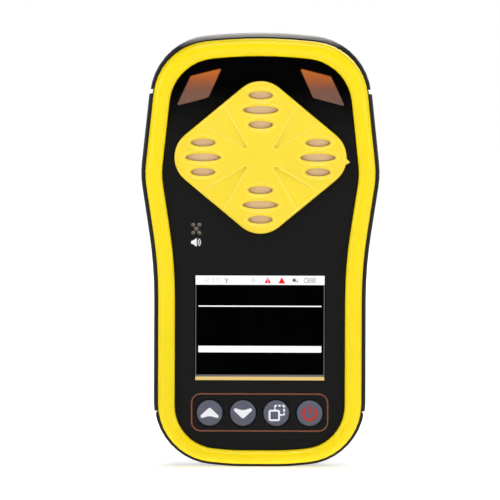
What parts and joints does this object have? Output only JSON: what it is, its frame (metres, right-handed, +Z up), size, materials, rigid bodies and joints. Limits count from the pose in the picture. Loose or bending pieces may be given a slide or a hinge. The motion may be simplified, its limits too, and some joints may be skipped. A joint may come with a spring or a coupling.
{
  "type": "portable gas detector",
  "caption": "Hand-held gas detector with a waisted case, diamond sensor cover, alarm windows, colour screen, round keys and a sprung belt clip.",
  "frame": {"origin": "middle of the footprint, on the surface that the detector stands on", "axes": "+Z up along the detector's length, -Y out of the face with the screen, +X to the right as the face is read, +Y out of the back towards the belt clip"},
  "size_m": [0.0718, 0.044, 0.1307],
  "materials": {
    "case_black": "fine matte grain, nearly black",
    "yellow_overmould": "smooth satin soft overmould, bright yellow",
    "face_gloss": "polished black, mirror-smooth",
    "window_clear": "clear polished acrylic",
    "window_amber": "polished amber, orange at the top and smoky below",
    "cover_yellow": "satin moulded yellow",
    "seal_grey": "soft grey silicone",
    "filter_felt": "fine pressed fibre, beige",
    "cell_body": "plain moulded off-white",
    "key_plastic": "matte slate grey with a pale printed symbol",
    "pill_carbon": "matte conductive carbon rubber",
    "board_green": "green solder resist",
    "display_glass": "polished display glass, lit from behind",
    "backlight_white": "white diffusing plastic",
    "mesh_steel": "fine dark woven wire",
    "battery_wrap": "blue heat-shrink wrap",
    "band_rubber": "fine-grained dark grey rubber",
    "clip_steel": "brushed stainless steel",
    "screw_steel": "black-oxide steel"
  },
  "bodies": {
    "case": {"front_shell": "case_black", "rear_shell": "case_black", "bezel": "yellow_overmould", "face_panel": "face_gloss", "screen_lens": "window_clear", "alarm_lens_left": "window_amber", "alarm_lens_right": "window_amber", "sensor_cover": "cover_yellow", "sensor_gasket": "seal_grey", "case_seal": "seal_grey", "sensor_filter_top": "filter_felt", "sensor_filter_bottom": "filter_felt", "sensor_filter_left": "filter_felt", "sensor_filter_right": "filter_felt", "sensor_oxygen": "cell_body", "sensor_combustible": "cell_body", "sensor_carbon_monoxide": "cell_body", "sensor_hydrogen_sulfide": "cell_body", "keypad_mat": "seal_grey", "lcd_glass": "display_glass", "lcd_backlight": "backlight_white", "main_board": "board_green", "sensor_board": "board_green", "alarm_led_left": "backlight_white", "alarm_led_right": "backlight_white", "buzzer": "case_black", "buzzer_mesh": "mesh_steel", "vibration_motor": "clip_steel", "battery_pack": "battery_wrap", "battery_pad": "seal_grey", "usb_port": "clip_steel", "side_rail_left": "band_rubber", "side_rail_right": "band_rubber", "top_bumper": "band_rubber", "bottom_bumper": "band_rubber", "clip_bracket": "clip_steel", "clip_pin": "clip_steel", "clip_spring": "clip_steel", "clip_screw_upper": "screw_steel", "clip_screw_lower": "screw_steel", "case_screw_upper_left": "screw_steel", "case_screw_upper_right": "screw_steel", "case_screw_lower_left": "screw_steel", "case_screw_lower_right": "screw_steel"},
    "key_up_body": {"key_up": "key_plastic", "pill_up": "pill_carbon"},
    "key_down_body": {"key_down": "key_plastic", "pill_down": "pill_carbon"},
    "key_menu_body": {"key_menu": "key_plastic", "pill_menu": "pill_carbon"},
    "key_power_body": {"key_power": "key_plastic", "pill_power": "pill_carbon"},
    "clip_lever": {"clip_arm": "clip_steel"},
    "flap": {"port_flap": "band_rubber"}
  },
  "joints": [
    {"name": "press_up", "type": "slide", "parent": "case", "child": "key_up_body", "axis": [0, 1, 0], "range_m": [0, 0.0008], "stiffness_N_per_m": 600, "springref_m": -0.0004},
    {"name": "press_down", "type": "slide", "parent": "case", "child": "key_down_body", "axis": [0, 1, 0], "range_m": [0, 0.0008], "stiffness_N_per_m": 600, "springref_m": -0.0004},
    {"name": "press_menu", "type": "slide", "parent": "case", "child": "key_menu_body", "axis": [0, 1, 0], "range_m": [0, 0.0008], "stiffness_N_per_m": 600, "springref_m": -0.0004},
    {"name": "press_power", "type": "slide", "parent": "case", "child": "key_power_body", "axis": [0, 1, 0], "range_m": [0, 0.0008], "stiffness_N_per_m": 600, "springref_m": -0.0004},
    {"name": "clip_swing", "type": "hinge", "parent": "case", "child": "clip_lever", "pos_m": [0, 0.0169, 0.0944], "axis": [1, 0, 0], "range_deg": [0, 22], "stiffness_Nm_per_rad": 0.6, "springref_deg": -28.65, "deforming": ["clip_spring"]},
    {"name": "flap_swing", "type": "hinge", "parent": "case", "child": "flap", "pos_m": [0.031, -0.003, 0.0379], "axis": [0, 0, 1], "range_deg": [0, 95]}
  ]
}
